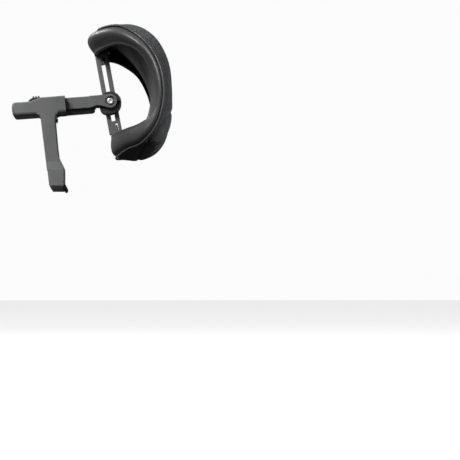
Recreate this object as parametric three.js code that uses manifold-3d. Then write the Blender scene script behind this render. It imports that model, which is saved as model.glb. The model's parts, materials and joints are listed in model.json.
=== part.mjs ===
// Chair headrest attachment: a bracket that bolts behind a chair's back, a sliding arm with a
// press latch, a tilting carriage, and a padded headrest on a slotted height rail.
// Millimetres. +X is forward, +Y is the left side of the chair, +Z is up.
// The origin is on the foot's front face, where it rests on the chair's back.
import * as THREE from 'three';
import { mergeVertices } from 'three/addons/utils/BufferGeometryUtils.js';
import Module from 'manifold-3d';

// ---- driving dimensions ------------------------------------------------------------------

const GAP = 0.3; // clearance between neighbouring pieces
const PAST = 40; // how far a cutting block reaches past the part

// The tilt pivot is the reference for the arm, the carriage and the rail.
const PIVOT = { x: 68, z: 110.2 };
const ARM_PITCH = THREE.MathUtils.degToRad(4.5); // arm rises towards the front
const RAIL_LEAN = THREE.MathUtils.degToRad(10.6); // rail leans back at its top

// Bracket head, measured along (s) and across (h) the arm's slide line, from the pivot.
const HEAD = { half: 28, rear: -145.5, mouth: -66.5, bottom: -14, low: 6.7, high: 12, topRound: 2,
  round: 6, endRound: 5.5 };
const RAMP = { start: -118, end: -103 };
const WALL = 1.8;
const CAP = 3.4;
const SLIDE_ROOM = { side: 0.4, top: 0.35, barEnd: 0.7, keelEnd: 1 };
const MAST = { half: 28, round: 1.5 };
const FOOT = { half: 50, neckHalf: 28, depth: 20, rearTopX: -25, bottomZ: -22, sideZ: 5, neckZ: 19 };
const FOOT_BOLT = { y: 36, z: -9, shank: 4, head: 6, headLength: 6, bore: 8, boreDepth: 10, washer: 1.2 };
const BUFFER = { half: 45, depth: 4.6, bottom: -24, top: -15 };
const STOP_SCREW = { x: -12.2, z: 81.8, head: 3.6, shank: 1.6, reach: 2.4 };

// Sliding arm.
const BAR = { half: 15, bottom: -7.7, top: 9.8, rear: -80.3, front: -21.8 };
const TONGUE = { half: 12, bottom: -3.5, top: 4.5, rear: -121, slotHalf: 4.6, notchPitch: 4 };
const KEEL = { half: 8, bottom: -15, rear: -66.1, front: -23.5 };
const EAR = { inner: 15.6, outer: 20.4, root: -30.5, boss: 10.5, recess: 7.3, recessFloor: 17.6 };
const SLIDE_BACK = 20; // how far the arm slides back from rest

// Press latch.
const BUTTON = { rear: -121, front: -104, half: 8, bottom: 7, step: 10.9, deck: 14.6, rib: 16.5,
  ribPitch: 4 };
const STEM = { s: -110, half: 4, reach: 2.5, footHalf: 10, footReach: 5.5, footTop: -5.5, footDepth: 3.5,
  tooth: 7.5 };
const SPRING = { radius: 2.6, wire: 0.35, turns: 4, pocket: 1.2 };

// Tilt pivot hardware.
const BOLT = { shank: 2.4, bore: 2.75, head: 5, headOuter: 20.3, nut: 5.2, tip: 21.4 };
const CARRIAGE = { half: 14.3, crown: 14.8, belly: 3.2, lobe: 2.4, lobeAngle: 3.93, lobeWidth: 0.45 };

// Height rail, measured along (t) and across (w) the rail from the pivot.
const RAIL = { half: 9.75, thick: 5, top: 86, bottom: -66, stepTop: 71, stepBottom: -48.5, step: 5 };
const SLOT = { half: 2.9, bottom: -29, top: 57.3 };
const POCKETS = [
  { name: 'upper', w: 2.9, bottom: 60.5, top: 70.5 },
  { name: 'lower', w: 3.4, bottom: -43.5, top: -32.5 },
];
const POCKET_HALF = 1.6;
const RAIL_SCREW = { head: 3.6, shank: 1.9, w: 2.5 };
const RAIL_BLOCK = { w0: -4.4, w1: 13.2, y: 10 };
const RAIL_MOUNTS = [
  { name: 'upper', t: 79, half: 6 },
  { name: 'lower', t: -58, half: 6 },
];
const GLIDE = { half: 8.5, reach: 12, wall: 1.5 };
const CLAMP_SCREW = { head: 2.6, shank: 1.4, places: [[12.4, -4], [-13.2, -6.5]] };

// Headrest: the seam between shell and pad, and the shell's inner lip, from the middle of the
// top round one wing to the middle of the bottom. The other wing is its mirror image.
const SEAM = [
  [48, 0, 214], [57, 64, 213], [84, 116, 207], [112, 139, 187], [134, 141, 157],
  [144, 141, 112], [136, 139, 68], [116, 127, 41], [94, 88, 33], [80, 32, 27], [77, 0, 26],
];
const LIP = [
  [44, 0, 180], [54, 62, 181], [83, 114, 181], [110, 137.5, 165], [126, 138.5, 136],
  [132, 138.5, 104], [127, 136, 79], [111, 127, 68], [92, 95, 63], [75, 48, 60], [69, 0, 60],
];
// The band is crowned, most at the top: topSpread is the share of the loop over which that
// fades, and a smaller skew moves the crown nearer the seam.
const SHELL = { wall: 3.2, topBulge: 12.5, sideBulge: 4, topSpread: 0.15, skew: 0.7, loops: 60,
  across: 6 };
const TRIM = { radius: 1.5, behind: 2.2 };
const PAD_FACE = { x: 150.5, z: 112, power: 3.2, wings: 6, wingReach: 140, puff: 0.03 };
const PANEL = { x: 131, z: 112, power: 1.6, wall: 3, behind: 5.5, inside: 4.3 };

// ---- colours and finishes ----------------------------------------------------------------

const FINISHES = {
  castGrey: { color: 0x3b3c3d, roughness: 0.5, metalness: 0.1 },
  satinBlack: { color: 0x232425, roughness: 0.45, metalness: 0.1 },
  moulded: { color: 0x1f2020, roughness: 0.6, metalness: 0 },
  fabric: { color: 0x1b1c1d, roughness: 0.95, metalness: 0 },
  steel: { color: 0xb9bcc0, roughness: 0.3, metalness: 0.9 },
  blackSteel: { color: 0x2a2b2d, roughness: 0.4, metalness: 0.7 },
  nylon: { color: 0xd8d6cf, roughness: 0.5, metalness: 0 },
  rubber: { color: 0x121212, roughness: 0.9, metalness: 0 },
};

// ---- solids ------------------------------------------------------------------------------

const kernel = await Module();
kernel.setup();

function toSolid(geometry) {
  const bare = geometry.clone();
  bare.deleteAttribute('normal');
  bare.deleteAttribute('uv');
  const merged = mergeVertices(bare, 1e-4);
  const vertProperties = new Float32Array(merged.attributes.position.array);
  const triVerts = new Uint32Array(merged.index.array);
  return new kernel.Manifold(new kernel.Mesh({ numProp: 3, vertProperties, triVerts }));
}

function toGeometry(solid) {
  const mesh = solid.getMesh();
  const geometry = new THREE.BufferGeometry();
  geometry.setAttribute('position', new THREE.BufferAttribute(mesh.vertProperties, mesh.numProp));
  geometry.setIndex(new THREE.BufferAttribute(mesh.triVerts, 1));
  geometry.computeVertexNormals();
  return geometry;
}

function join(...geometries) {
  return toGeometry(geometries.map(toSolid).reduce((sum, next) => sum.add(next)));
}

function cut(geometry, ...tools) {
  return toGeometry(tools.map(toSolid).reduce((rest, tool) => rest.subtract(tool), toSolid(geometry)));
}

function common(first, second) {
  return toGeometry(toSolid(first).intersect(toSolid(second)));
}

// An outline in the X-Z plane, extruded along Y between y0 and y1, with its rim rounded.
function plate(outline, y0, y1, round = 0) {
  const shape = new THREE.Shape(outline.map(([x, z]) => new THREE.Vector2(x, z)));
  const settings = { depth: y1 - y0 - 2 * round, curveSegments: 12, bevelEnabled: round > 0 };
  Object.assign(settings, { bevelSize: round, bevelThickness: round, bevelOffset: -round });
  settings.bevelSegments = 2;
  const geometry = new THREE.ExtrudeGeometry(shape, settings);
  geometry.translate(0, 0, round);
  return geometry.rotateX(Math.PI / 2).translate(0, y1, 0);
}

function block(x0, x1, y0, y1, z0, z1) {
  const geometry = new THREE.BoxGeometry(x1 - x0, y1 - y0, z1 - z0);
  return geometry.translate((x0 + x1) / 2, (y0 + y1) / 2, (z0 + z1) / 2);
}

// A round bar along Y.
function barY(radius, y0, y1, x = 0, z = 0, sides = 24) {
  const geometry = new THREE.CylinderGeometry(radius, radius, y1 - y0, sides);
  return geometry.translate(x, (y0 + y1) / 2, z);
}

// A turned piece whose axis is Y: the profile lists radius and distance along Y.
function turnedY(profile, sides = 20) {
  return new THREE.LatheGeometry(profile.map(([r, y]) => new THREE.Vector2(r, y)), sides);
}

function ringProfile(inner, outer, y0, y1) {
  return [[inner, y0], [outer, y0], [outer, y1], [inner, y1], [inner, y0]];
}

// Moves a piece from a frame at the pivot, pitched up by an angle, to the part's own frame.
function pitched(geometry, angle) {
  return geometry.rotateY(-angle).translate(PIVOT.x, 0, PIVOT.z);
}

const onArm = (geometry) => pitched(geometry, ARM_PITCH);
const onRail = (geometry) => pitched(geometry, RAIL_LEAN);

// ---- the assembly ------------------------------------------------------------------------

const headrestAttachment = new THREE.Group();
headrestAttachment.name = 'headrest_attachment';

function addPiece(name, geometry, finish) {
  const mesh = new THREE.Mesh(geometry, new THREE.MeshStandardMaterial(FINISHES[finish]));
  mesh.name = name;
  headrestAttachment.add(mesh);
}

const SIDES = [['near', -1], ['far', 1]];

// ---- bracket -----------------------------------------------------------------------------

// A quarter round at a corner of the head's rear end, from one angle to another.
function endCorner(h, from) {
  const { rear, endRound } = HEAD;
  return [0, 1, 2, 3, 4].map((i) => {
    const angle = THREE.MathUtils.degToRad(from + i * 22.5);
    return [rear + endRound * (1 + Math.cos(angle)), h + endRound * Math.sin(angle)];
  });
}

function headOutline() {
  return [
    ...endCorner(HEAD.bottom + HEAD.endRound, 180),
    [HEAD.mouth + HEAD.round, HEAD.bottom],
    [HEAD.mouth + HEAD.round, HEAD.high],
    [RAMP.end, HEAD.high - 0.4],
    [RAMP.start, HEAD.low],
    ...endCorner(HEAD.low - HEAD.endRound, 90),
  ];
}

// The head's section across the slide line: small round corners on top, larger ones below.
function headSection() {
  const { half, bottom, high, topRound, round } = HEAD;
  const points = [];
  const corners = [
    [half - round, bottom + round, round, -90],
    [half - topRound, high - topRound, topRound, 0],
    [topRound - half, high - topRound, topRound, 90],
    [round - half, bottom + round, round, 180],
  ];
  for (const [y, h, radius, start] of corners) {
    for (let i = 0; i <= 4; i += 1) {
      const angle = THREE.MathUtils.degToRad(start + i * 22.5);
      points.push([y + radius * Math.cos(angle), h + radius * Math.sin(angle)]);
    }
  }
  return plate(points, HEAD.rear - 5, HEAD.mouth + 20).rotateZ(-Math.PI / 2);
}

function headBlank() {
  return common(plate(headOutline(), -HEAD.half, HEAD.half, HEAD.topRound), headSection());
}

function bracketHead() {
  const front = block(HEAD.mouth, HEAD.mouth + PAST, -PAST, PAST, -PAST, PAST);
  const rear = block(HEAD.rear - PAST, HEAD.rear + CAP + GAP, -PAST, PAST, -PAST, PAST);
  return onArm(cut(headBlank(), front, rear));
}

function rearCap() {
  return onArm(common(headBlank(), block(HEAD.rear - PAST, HEAD.rear + CAP, -PAST, PAST, -PAST, PAST)));
}

function mast() {
  const outline = [
    [-40.5, 97],
    [-40.5, 88.6],
    [-37.3, 87.4],
    [-35.1, 85],
    [-34.2, 80],
    [-26.9, 22],
    [FOOT.rearTopX, 6],
    [-1, 6],
    [-1.5, 14],
    [-4.6, 20],
    [-8, 28],
    [-9.9, 43],
    [-13.1, 78],
    [-13, 85],
    [-11.6, 88.8],
    [-8.5, 90.6],
    [-8.5, 97],
  ];
  return plate(outline, -MAST.half, MAST.half, MAST.round);
}

function foot() {
  const side = [
    [FOOT.rearTopX - 1.6, FOOT.neckZ],
    [FOOT.rearTopX + 1.5, 6],
    [-FOOT.depth - 0.8, FOOT.bottomZ + 5],
    [-FOOT.depth + 1.5, FOOT.bottomZ],
    [-1, FOOT.bottomZ],
    [0, FOOT.bottomZ + 1],
    [0, FOOT.sideZ + 6],
    [-3.9, FOOT.neckZ],
  ];
  const corner = 4;
  const front = [
    [-FOOT.half, FOOT.bottomZ + corner],
    [-FOOT.half + corner, FOOT.bottomZ - 1],
    [FOOT.half - corner, FOOT.bottomZ - 1],
    [FOOT.half, FOOT.bottomZ + corner],
    [FOOT.half, FOOT.sideZ],
    [FOOT.neckHalf - 3, FOOT.neckZ + 1],
    [-FOOT.neckHalf + 3, FOOT.neckZ + 1],
    [-FOOT.half, FOOT.sideZ],
  ];
  const slab = plate(front, -40, 40).rotateZ(-Math.PI / 2);
  return common(plate(side, -FOOT.half, FOOT.half), slab);
}

function bracketHollows() {
  const wide = TONGUE.half + GAP + 0.3;
  const { side, top } = SLIDE_ROOM;
  const barRoom = BAR.half + side;
  const keelRoom = KEEL.half + side;
  const buttonRoom = BUTTON.half + side;
  const barEnd = BAR.rear - SLIDE_BACK - SLIDE_ROOM.barEnd;
  const keelEnd = KEEL.rear - SLIDE_BACK - SLIDE_ROOM.keelEnd;
  return [
    block(barEnd, HEAD.mouth + PAST, -barRoom, barRoom, BAR.bottom - side, BAR.top + top),
    block(keelEnd, HEAD.mouth + PAST, -keelRoom, keelRoom, KEEL.bottom - side, BAR.bottom),
    block(HEAD.rear, barEnd + 1, -wide, wide, HEAD.bottom + WALL, HEAD.low - WALL),
    block(BUTTON.rear - side, BUTTON.front + side, -buttonRoom, buttonRoom, 0, PAST),
  ].map(onArm);
}

function footBores() {
  return SIDES.flatMap(([, sign]) => {
    const y = sign * FOOT_BOLT.y;
    const through = barY(FOOT_BOLT.shank + 0.4, -30, 30).rotateZ(Math.PI / 2);
    const pocket = barY(FOOT_BOLT.bore, -30, FOOT_BOLT.boreDepth - FOOT.depth);
    pocket.rotateZ(-Math.PI / 2);
    return [through, pocket].map((tool) => tool.translate(0, y, FOOT_BOLT.z));
  });
}

function stopScrewBore() {
  const bore = barY(STOP_SCREW.shank + GAP, -8, 6).rotateZ(-Math.PI / 2);
  return bore.translate(STOP_SCREW.x, 0, STOP_SCREW.z);
}

function bracketBody() {
  const whole = join(bracketHead(), mast(), foot());
  return cut(whole, ...bracketHollows(), ...footBores(), stopScrewBore());
}

addPiece('bracket_body', bracketBody(), 'castGrey');
addPiece('rear_cap', rearCap(), 'castGrey');

function alongX(geometry, y, z) {
  return geometry.rotateZ(-Math.PI / 2).translate(0, y, z);
}

function footBolt(sign) {
  const seat = FOOT_BOLT.boreDepth - FOOT.depth - GAP - FOOT_BOLT.washer - GAP;
  const socket = FOOT_BOLT.head * 0.5;
  const profile = [
    [0, seat - 3],
    [socket, seat - 4],
    [socket, seat - FOOT_BOLT.headLength],
    [FOOT_BOLT.head, seat - FOOT_BOLT.headLength],
    [FOOT_BOLT.head, seat],
    [FOOT_BOLT.shank, seat],
    [FOOT_BOLT.shank, -GAP],
    [0, -GAP],
  ];
  return alongX(turnedY(profile), sign * FOOT_BOLT.y, FOOT_BOLT.z);
}

function footWasher(sign) {
  const front = FOOT_BOLT.boreDepth - FOOT.depth - GAP;
  const inner = FOOT_BOLT.shank + GAP;
  const ring = ringProfile(inner, FOOT_BOLT.bore - 0.5, front - FOOT_BOLT.washer, front);
  return alongX(turnedY(ring), sign * FOOT_BOLT.y, FOOT_BOLT.z);
}

function footBuffer() {
  const outline = [
    [GAP, BUFFER.bottom],
    [BUFFER.depth - 1.5, BUFFER.bottom],
    [BUFFER.depth, BUFFER.bottom + 2],
    [BUFFER.depth, BUFFER.top - 3.5],
    [BUFFER.depth - 2, BUFFER.top - 0.8],
    [GAP, BUFFER.top],
  ];
  return plate(outline, -BUFFER.half, BUFFER.half);
}

function stopScrew() {
  const { x, z, head, reach, shank } = STOP_SCREW;
  const profile = [[0, -6], [shank, -6], [shank, GAP], [head, GAP], [head, reach - 0.8]];
  profile.push([head * 0.7, reach], [0, reach]);
  return turnedY(profile, 20).rotateZ(-Math.PI / 2).translate(x, 0, z);
}

for (const [side, sign] of SIDES) {
  addPiece(`foot_bolt_${side}`, footBolt(sign), 'blackSteel');
  addPiece(`foot_washer_${side}`, footWasher(sign), 'steel');
}
addPiece('foot_buffer', footBuffer(), 'rubber');
addPiece('stop_screw', stopScrew(), 'blackSteel');

// ---- press latch -------------------------------------------------------------------------

function latchButton() {
  const outline = [
    [BUTTON.rear, BUTTON.bottom],
    [BUTTON.front, BUTTON.bottom],
    [BUTTON.front, BUTTON.deck],
    [BUTTON.rear + 6.3, BUTTON.deck],
    [BUTTON.rear, BUTTON.step],
  ];
  const ribs = [0, 1, 2].map((i) => {
    const s = BUTTON.front - 1.6 - i * BUTTON.ribPitch;
    return block(s - 0.9, s + 0.9, -BUTTON.half + 1, BUTTON.half - 1, BUTTON.deck - 1, BUTTON.rib);
  });
  return onArm(join(plate(outline, -BUTTON.half, BUTTON.half, 0.8), ...ribs));
}

function latchPawl() {
  const s = STEM.s;
  const floor = STEM.footTop - STEM.footDepth;
  const stem = block(s - STEM.reach, s + STEM.reach, -STEM.half, STEM.half, floor, BUTTON.bottom - GAP);
  const low = block(s - STEM.footReach, s + STEM.footReach, -STEM.footHalf, STEM.footHalf, floor,
    STEM.footTop);
  const teeth = SIDES.map(([, sign]) => {
    const tooth = plate([[s - 1.6, STEM.footTop - 1], [s + 1.6, STEM.footTop - 1],
      [s + 0.5, TONGUE.bottom - GAP], [s - 0.5, TONGUE.bottom - GAP]], 0, 3);
    return tooth.translate(0, sign * STEM.tooth - 1.5, 0);
  });
  const pocket = block(s - 3.6, s + 3.6, -3.6, 3.6, floor - 1, floor + SPRING.pocket);
  return onArm(cut(join(stem, low, ...teeth), pocket));
}

class Coil extends THREE.Curve {
  constructor(radius, bottom, height, turns) {
    super();
    Object.assign(this, { radius, bottom, height, turns });
  }

  getPoint(t, target = new THREE.Vector3()) {
    const turn = t * this.turns * 2 * Math.PI;
    const z = this.bottom + t * this.height;
    return target.set(this.radius * Math.cos(turn), this.radius * Math.sin(turn), z);
  }
}

// A tube of even-sided section along a curve.
function tube(curve, radius, steps, sides) {
  const section = new THREE.Shape();
  for (let i = 0; i < sides; i += 1) {
    const angle = (i / sides) * 2 * Math.PI;
    const point = [radius * Math.cos(angle), radius * Math.sin(angle)];
    if (i === 0) section.moveTo(...point);
    else section.lineTo(...point);
  }
  const settings = { steps, extrudePath: curve, bevelEnabled: false, curveSegments: 1 };
  return new THREE.ExtrudeGeometry(section, settings);
}

function latchSpring() {
  const { radius, wire, turns, pocket } = SPRING;
  const bottom = HEAD.bottom + WALL + wire + GAP;
  const top = STEM.footTop - STEM.footDepth + pocket - wire - GAP;
  const coil = new Coil(radius, bottom, top - bottom, turns);
  return onArm(tube(coil, wire, 56, 6).translate(STEM.s, 0, 0));
}

addPiece('latch_button', latchButton(), 'satinBlack');
addPiece('latch_pawl', latchPawl(), 'nylon');
addPiece('latch_spring', latchSpring(), 'steel');

// ---- sliding arm -------------------------------------------------------------------------

function earOutline() {
  const points = [[EAR.root, BAR.top], [-15, 9.9]];
  const steps = 18;
  for (let i = 0; i <= steps; i += 1) {
    const angle = THREE.MathUtils.degToRad(100 - (i / steps) * 220);
    points.push([EAR.boss * Math.cos(angle), EAR.boss * Math.sin(angle)]);
  }
  points.push([-12.5, -6.8], [-20, -5], [EAR.root + 3, BAR.bottom], [EAR.root, BAR.bottom]);
  return points.reverse();
}

function armBar() {
  const bar = plate([[BAR.rear, BAR.bottom], [BAR.front, BAR.bottom], [BAR.front, BAR.top],
    [BAR.rear, BAR.top]], -BAR.half, BAR.half, 1.2);
  const tongue = block(TONGUE.rear, BAR.rear + 2, -TONGUE.half, TONGUE.half, TONGUE.bottom,
    TONGUE.top);
  const pieces = [bar, tongue];
  const tools = [
    block(TONGUE.rear - 5, BAR.rear - 1, -TONGUE.slotHalf, TONGUE.slotHalf, -20, 20),
    barY(BOLT.bore, -30, 30),
    block(BAR.front, 20, -EAR.inner, EAR.inner, -20, 20),
  ];
  for (const [side, sign] of SIDES) {
    const [low, high] = sign < 0 ? [-EAR.outer, -8] : [8, EAR.outer];
    pieces.push(plate(earOutline(), low, high, 1));
    const [floor, past] = [sign * EAR.recessFloor, sign * 30];
    const recess = side === 'near' ? 32 : 6;
    tools.push(barY(EAR.recess, Math.min(floor, past), Math.max(floor, past), 0, 0, recess));
  }
  for (let i = 0; i < 7; i += 1) {
    const s = STEM.s + (i - 2) * TONGUE.notchPitch;
    if (s > TONGUE.rear + 1 && s < BAR.rear - 3) {
      const notch = [[s - 1.5, TONGUE.bottom - 1], [s + 1.5, TONGUE.bottom - 1],
        [s + 0.7, TONGUE.bottom + 1.6], [s - 0.7, TONGUE.bottom + 1.6]];
      tools.push(plate(notch, -20, 20));
    }
  }
  return onArm(cut(join(...pieces), ...tools));
}

function keelStrip() {
  const outline = [
    [KEEL.rear, KEEL.bottom],
    [KEEL.front - 3, KEEL.bottom + 0.6],
    [KEEL.front, KEEL.bottom + 3],
    [KEEL.front, BAR.bottom - GAP],
    [KEEL.rear, BAR.bottom - GAP],
  ];
  return onArm(plate(outline, -KEEL.half, KEEL.half, 0.8));
}

addPiece('arm_bar', armBar(), 'castGrey');
addPiece('keel_strip', keelStrip(), 'satinBlack');

// ---- tilt pivot --------------------------------------------------------------------------

function atPivot(geometry) {
  return geometry.translate(PIVOT.x, 0, PIVOT.z);
}

function pivotBolt() {
  const seat = -EAR.recessFloor - GAP;
  const profile = [
    [0, -BOLT.headOuter + 1.2],
    [1.8, -BOLT.headOuter + 1.2],
    [2, -BOLT.headOuter],
    [BOLT.head - 0.9, -BOLT.headOuter],
    [BOLT.head, -BOLT.headOuter + 0.9],
    [BOLT.head, seat],
    [BOLT.shank, seat],
    [BOLT.shank, BOLT.tip],
    [0, BOLT.tip],
  ];
  return atPivot(turnedY(profile));
}

function pivotNut() {
  const hexagon = barY(BOLT.nut, EAR.recessFloor + GAP, BOLT.tip - 0.6, 0, 0, 6);
  return atPivot(cut(hexagon, barY(BOLT.bore, 0, 30)));
}

function frictionWasher(sign) {
  const near = CARRIAGE.half + GAP;
  const far = EAR.inner - GAP;
  const [low, high] = sign < 0 ? [-far, -near] : [near, far];
  return atPivot(turnedY(ringProfile(BOLT.bore, 8.5, low, high)));
}

addPiece('pivot_bolt', pivotBolt(), 'steel');
addPiece('pivot_nut', pivotNut(), 'steel');
for (const [side, sign] of SIDES) {
  addPiece(`friction_washer_${side}`, frictionWasher(sign), 'nylon');
}

// ---- carriage ----------------------------------------------------------------------------

function carriageOutline() {
  const count = 44;
  return Array.from({ length: count }, (_, i) => {
    const angle = (i / count) * 2 * Math.PI;
    const belly = CARRIAGE.belly * (1 - Math.sin(angle)) * 0.5;
    const lobe = CARRIAGE.lobe * Math.exp(-(((angle - CARRIAGE.lobeAngle) / CARRIAGE.lobeWidth) ** 2));
    const radius = CARRIAGE.crown + belly + lobe;
    return [radius * Math.cos(angle), radius * Math.sin(angle)];
  });
}

function carriageHalf(sign) {
  const [low, high] = sign < 0 ? [-CARRIAGE.half, -GAP / 2] : [GAP / 2, CARRIAGE.half];
  const track = RAIL.thick + GLIDE.wall + 2 * GAP;
  const side = RAIL.half + GAP;
  const tools = [
    block(-side, side, -track, track, -40, 40),
    barY(BOLT.bore, -30, 30),
    ...CLAMP_SCREW.places.map(([w, t]) => barY(CLAMP_SCREW.shank + GAP, -30, 30, w, t, 12)),
    ...CLAMP_SCREW.places.map(([w, t]) => barY(CLAMP_SCREW.head + GAP, -30, -9, w, t, 16)),
  ];
  return onRail(cut(plate(carriageOutline(), low, high), ...tools));
}

function clampScrew([w, t]) {
  const { head, shank } = CLAMP_SCREW;
  const profile = [[0, -12], [head * 0.8, -12], [head, -11.4], [head, -9.3], [shank, -9.3]];
  profile.push([shank, 12], [0, 12]);
  return onRail(turnedY(profile, 16).translate(w, 0, t));
}

// A nylon pad between the rail's face and the carriage.
function railGlide(sign) {
  const near = RAIL.thick + GAP;
  const far = near + GLIDE.wall - GAP;
  const [low, high] = sign < 0 ? [-far, -near] : [near, far];
  const outline = [[-GLIDE.half, -GLIDE.reach], [GLIDE.half, -GLIDE.reach],
    [GLIDE.half, GLIDE.reach], [-GLIDE.half, GLIDE.reach]];
  return onRail(cut(plate(outline, low, high), barY(BOLT.bore, -30, 30)));
}

for (const [side, sign] of SIDES) {
  addPiece(`carriage_${side}`, carriageHalf(sign), 'satinBlack');
  addPiece(`rail_glide_${side}`, railGlide(sign), 'nylon');
}
addPiece('clamp_screw_front', clampScrew(CLAMP_SCREW.places[0]), 'blackSteel');
addPiece('clamp_screw_rear', clampScrew(CLAMP_SCREW.places[1]), 'blackSteel');

// ---- height rail -------------------------------------------------------------------------

function heightRail() {
  const left = -RAIL.half;
  const step = left + RAIL.step;
  const outline = [
    [step, RAIL.bottom],
    [RAIL.half, RAIL.bottom],
    [RAIL.half, RAIL.top],
    [step, RAIL.top],
    [step, RAIL.stepTop],
    [left, RAIL.stepTop],
    [left, RAIL.stepBottom],
    [step, RAIL.stepBottom],
  ];
  const tools = [block(-SLOT.half, SLOT.half, -9, 9, SLOT.bottom, SLOT.top)];
  for (const { w, bottom, top } of POCKETS) {
    tools.push(block(w - POCKET_HALF, w + POCKET_HALF, -9, 9, bottom, top));
  }
  for (const { t } of RAIL_MOUNTS) {
    tools.push(barY(RAIL_SCREW.shank + GAP, -9, 9, RAIL_SCREW.w, t, 16));
  }
  return onRail(cut(plate(outline, -RAIL.thick, RAIL.thick, 1), ...tools));
}

// A toothed rubber insert that fills the end pocket of the rail.
function railInsert({ w, bottom, top }) {
  const length = top - bottom - 2 * GAP - 2.4;
  const count = 4;
  const half = POCKET_HALF - GAP;
  const outline = [[w - half, bottom + GAP]];
  for (let i = 0; i < count; i += 1) {
    const t = bottom + GAP + (i / count) * length;
    outline.push([w + half, t + 0.2], [w, t + length / count - 0.2]);
  }
  outline.push([w - half, bottom + GAP + length]);
  return onRail(plate(outline, -RAIL.thick + 0.6, RAIL.thick - 0.6));
}

// A block that grips the rail's tongue inside the shell.
function railMount({ t, half }) {
  const { w0, w1, y } = RAIL_BLOCK;
  const room = RAIL.thick + GAP;
  const tools = [
    block(w0 - 1, w1 - 3, -room, room, t - 20, t + 20),
    barY(RAIL_SCREW.shank + GAP, -30, 30, RAIL_SCREW.w, t, 16),
  ];
  return onRail(cut(block(w0, w1, -y, y, t - half, t + half), ...tools));
}

function railScrew({ t }) {
  const y = RAIL_BLOCK.y;
  const { head, shank, w } = RAIL_SCREW;
  const profile = [[0, -y - 2.6], [head * 0.6, -y - 2.6], [head, -y - 1.6], [head, -y - GAP]];
  profile.push([shank, -y - GAP], [shank, y - 1], [0, y - 1]);
  return onRail(turnedY(profile, 16).translate(w, 0, t));
}

addPiece('height_rail', heightRail(), 'castGrey');
POCKETS.forEach((pocket) => addPiece(`rail_insert_${pocket.name}`, railInsert(pocket), 'rubber'));
for (const mount of RAIL_MOUNTS) {
  addPiece(`rail_mount_${mount.name}`, railMount(mount), 'satinBlack');
  addPiece(`rail_screw_${mount.name}`, railScrew(mount), 'blackSteel');
}

// ---- headrest shell, panel, trim and pad -------------------------------------------------

function loopCurve(half) {
  const near = half.map(([x, y, z]) => new THREE.Vector3(x, -y, z));
  const far = half.slice(1, -1).reverse().map(([x, y, z]) => new THREE.Vector3(x, y, z));
  return new THREE.CatmullRomCurve3([...near, ...far], true, 'centripetal');
}

const seamCurve = loopCurve(SEAM);
const lipCurve = loopCurve(LIP);
const middle = new THREE.Vector3(105, 0, 115);

// The section of the shell at u round the loop: its seam and lip points, the direction from lip
// to seam, and the outward normal.
function section(u) {
  const seam = seamCurve.getPoint(u);
  const lip = lipCurve.getPoint(u);
  const forward = seam.clone().sub(lip);
  const width = forward.length();
  forward.normalize();
  const outward = new THREE.Vector3().crossVectors(seamCurve.getTangent(u), forward).normalize();
  if (outward.dot(seam.clone().sub(middle)) < 0) outward.negate();
  const top = Math.exp(-((Math.min(u, 1 - u) / SHELL.topSpread) ** 2));
  const bulge = SHELL.sideBulge + (SHELL.topBulge - SHELL.sideBulge) * top;
  return { seam, lip, forward, outward, width, bulge };
}

function shellPoint({ seam, forward, outward, width, bulge }, v, inset) {
  const back = TRIM.behind + v * (width - TRIM.behind);
  const rise = bulge * Math.sin(Math.PI * v ** SHELL.skew) - inset;
  return seam.clone().addScaledVector(forward, -back).addScaledVector(outward, rise);
}

// A closed skin over rows of points, each row a closed ring, with the rows joined in order. With
// closed true the last row joins the first; otherwise the two ends meet in a point.
function skin(rows, closed) {
  const positions = rows.flat().flatMap((p) => [p.x, p.y, p.z]);
  const starts = [];
  rows.reduce((start, row) => {
    starts.push(start);
    return start + row.length;
  }, 0);
  const index = [];
  const last = closed ? rows.length : rows.length - 1;
  for (let r = 0; r < last; r += 1) {
    const a = starts[r];
    const b = starts[(r + 1) % rows.length];
    const [countA, countB] = [rows[r].length, rows[(r + 1) % rows.length].length];
    for (let i = 0; i < Math.max(countA, countB); i += 1) {
      const [a0, a1] = [a + (i % countA), a + ((i + 1) % countA)];
      const [b0, b1] = [b + (i % countB), b + ((i + 1) % countB)];
      if (countA > 1) index.push(a0, a1, b0);
      if (countB > 1) index.push(a1, b1, b0);
    }
  }
  const geometry = new THREE.BufferGeometry();
  geometry.setAttribute('position', new THREE.Float32BufferAttribute(positions, 3));
  geometry.setIndex(index);
  return outwardFacing(geometry);
}

function outwardFacing(geometry) {
  const position = geometry.attributes.position;
  const index = geometry.index.array;
  const [a, b, c] = [new THREE.Vector3(), new THREE.Vector3(), new THREE.Vector3()];
  let volume = 0;
  for (let i = 0; i < index.length; i += 3) {
    a.fromBufferAttribute(position, index[i]);
    b.fromBufferAttribute(position, index[i + 1]);
    c.fromBufferAttribute(position, index[i + 2]);
    volume += a.dot(b.cross(c));
  }
  if (volume < 0) {
    for (let i = 0; i < index.length; i += 3) [index[i], index[i + 1]] = [index[i + 1], index[i]];
  }
  geometry.computeVertexNormals();
  return geometry;
}

const steps = Array.from({ length: SHELL.loops }, (_, i) => i / SHELL.loops);
const sections = steps.map(section);

function shellFrame() {
  const rows = [];
  for (let j = 0; j <= SHELL.across; j += 1) {
    rows.push(sections.map((at) => shellPoint(at, j / SHELL.across, 0)));
  }
  for (let j = SHELL.across; j >= 0; j -= 1) {
    rows.push(sections.map((at) => shellPoint(at, j / SHELL.across, SHELL.wall)));
  }
  return skin(rows, true);
}

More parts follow.
